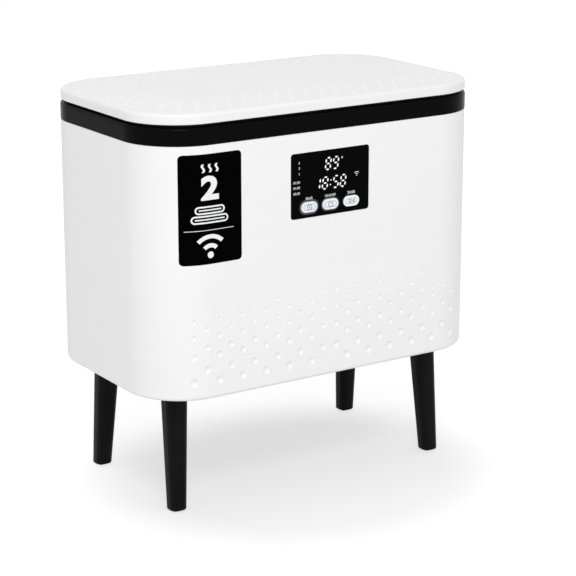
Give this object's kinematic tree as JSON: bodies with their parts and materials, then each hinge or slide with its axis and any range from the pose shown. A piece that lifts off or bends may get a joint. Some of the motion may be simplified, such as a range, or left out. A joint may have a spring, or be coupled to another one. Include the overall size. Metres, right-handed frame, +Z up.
{
  "type": "towel warmer bucket",
  "caption": "Free-standing towel warmer: a rounded box on splayed legs with a black collar, a hinged lid, a heated inner bucket and a front panel with push buttons.",
  "frame": {"origin": "on the floor, under the middle of the whole object's box, hinge and buttons counted", "axes": "+Z up, -Y towards the front with the control panel, +X to the right seen from the front"},
  "size_m": [0.42, 0.262, 0.4315],
  "materials": {
    "white_shell": "satin white moulded plastic",
    "white_lid": "satin white moulded plastic with small dimples",
    "black_trim": "satin black moulded plastic",
    "black_leg": "satin black",
    "black_gloss": "polished black acrylic",
    "milky_cap": "milky translucent plastic, lit from behind",
    "bucket_metal": "brushed aluminium sheet",
    "steel": "zinc plated",
    "rubber": "matte",
    "felt": "needled fibre felt",
    "film": "polyimide heater film",
    "board": "green circuit board",
    "component": "black component bodies"
  },
  "bodies": {
    "root": {"outer_shell": "white_shell", "collar": "black_trim", "base_plate": "black_trim", "panel_housing": "black_trim", "panel_window": "black_gloss", "inner_bucket": "bucket_metal", "heater_film": "film", "insulation_wrap": "felt", "cord_gland": "rubber", "leg_front_left": "black_leg", "foot_pad_front_left": "rubber", "leg_stud_front_left": "steel", "leg_front_right": "black_leg", "foot_pad_front_right": "rubber", "leg_stud_front_right": "steel", "leg_rear_left": "black_leg", "foot_pad_rear_left": "rubber", "leg_stud_rear_left": "steel", "leg_rear_right": "black_leg", "foot_pad_rear_right": "rubber", "leg_stud_rear_right": "steel", "base_screw_1": "steel", "panel_screw_1": "steel", "board_screw_1": "steel", "base_screw_2": "steel", "panel_screw_2": "steel", "board_screw_2": "steel", "base_screw_3": "steel", "panel_screw_3": "steel", "board_screw_3": "steel", "base_screw_4": "steel", "panel_screw_4": "steel", "board_screw_4": "steel", "control_board": "board", "power_board": "board", "display_module": "component", "relay": "component", "transformer": "component", "terminal_block": "component", "thermostat": "component", "temperature_sensor": "component", "wifi_module": "steel", "thermal_fuse": "steel", "hinge_pin_left": "steel", "hinge_pin_right": "steel", "switch_timer": "component", "switch_power": "component", "switch_delay": "component"},
    "lid": {"lid_cover": "white_lid", "lid_liner": "black_trim", "lid_pad": "felt", "lid_seal": "rubber", "lid_screw_1": "steel", "lid_screw_2": "steel", "lid_screw_3": "steel", "lid_screw_4": "steel"},
    "button_timer": {"button_timer": "milky_cap"},
    "button_power": {"button_power": "milky_cap"},
    "button_delay": {"button_delay": "milky_cap"}
  },
  "joints": [
    {"name": "lid_hinge", "type": "hinge", "parent": "root", "child": "lid", "pos_m": [0, 0.126, 0.418], "axis": [-1, 0, 0], "range_deg": [0, 95]},
    {"name": "button_timer_press", "type": "slide", "parent": "root", "child": "button_timer", "axis": [0, 1, 0], "range_m": [0, 0.0008], "stiffness_N_per_m": 400, "springref_m": -0.0004},
    {"name": "button_power_press", "type": "slide", "parent": "root", "child": "button_power", "axis": [0, 1, 0], "range_m": [0, 0.0008], "stiffness_N_per_m": 400, "springref_m": -0.0004},
    {"name": "button_delay_press", "type": "slide", "parent": "root", "child": "button_delay", "axis": [0, 1, 0], "range_m": [0, 0.0008], "stiffness_N_per_m": 400, "springref_m": -0.0004}
  ]
}
